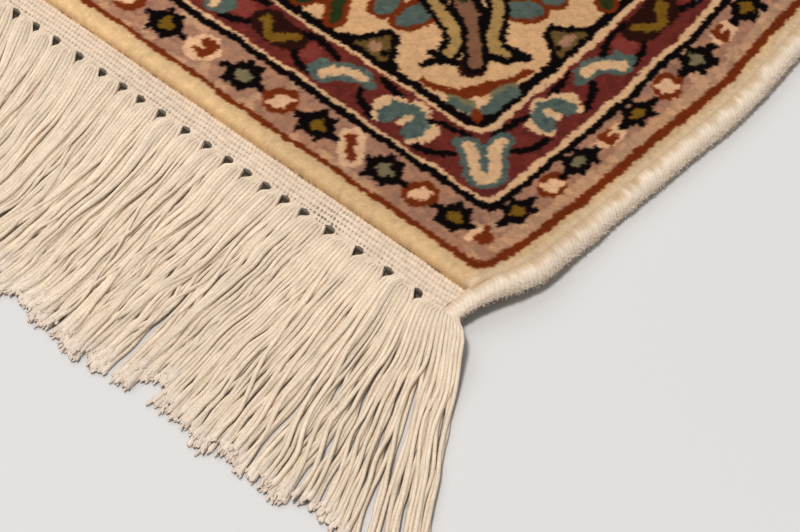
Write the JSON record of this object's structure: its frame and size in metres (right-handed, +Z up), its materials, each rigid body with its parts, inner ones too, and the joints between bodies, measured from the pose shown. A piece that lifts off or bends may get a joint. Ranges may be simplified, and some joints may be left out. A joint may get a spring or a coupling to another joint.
{
  "type": "small hand-knotted silk rug with a warp fringe",
  "caption": "Flat rectangular silk pile rug with a bordered pattern, bare woven ends, overcast sides and a knotted cotton fringe at each end.",
  "frame": {"origin": "under the middle of the rug, on the surface that it lies on", "axes": "+X across the rug along its wefts, +Y along its warps from one fringe to the other, +Z up out of the pile"},
  "size_m": [0.6764, 1.0376, 0.0055],
  "materials": {
    "silk_pile": "short cut silk pile with a soft sheen, cream, maroon, rust, teal and olive in a bordered pattern",
    "side_cord": "pale fuzzy overcast silk",
    "cotton_warp": "matt twisted natural cotton"
  },
  "bodies": {
    "root": {"rug_body": "silk_pile", "selvedge_right": "side_cord", "selvedge_left": "side_cord", "fringe_front": "cotton_warp", "fringe_back": "cotton_warp"}
  },
  "joints": []
}
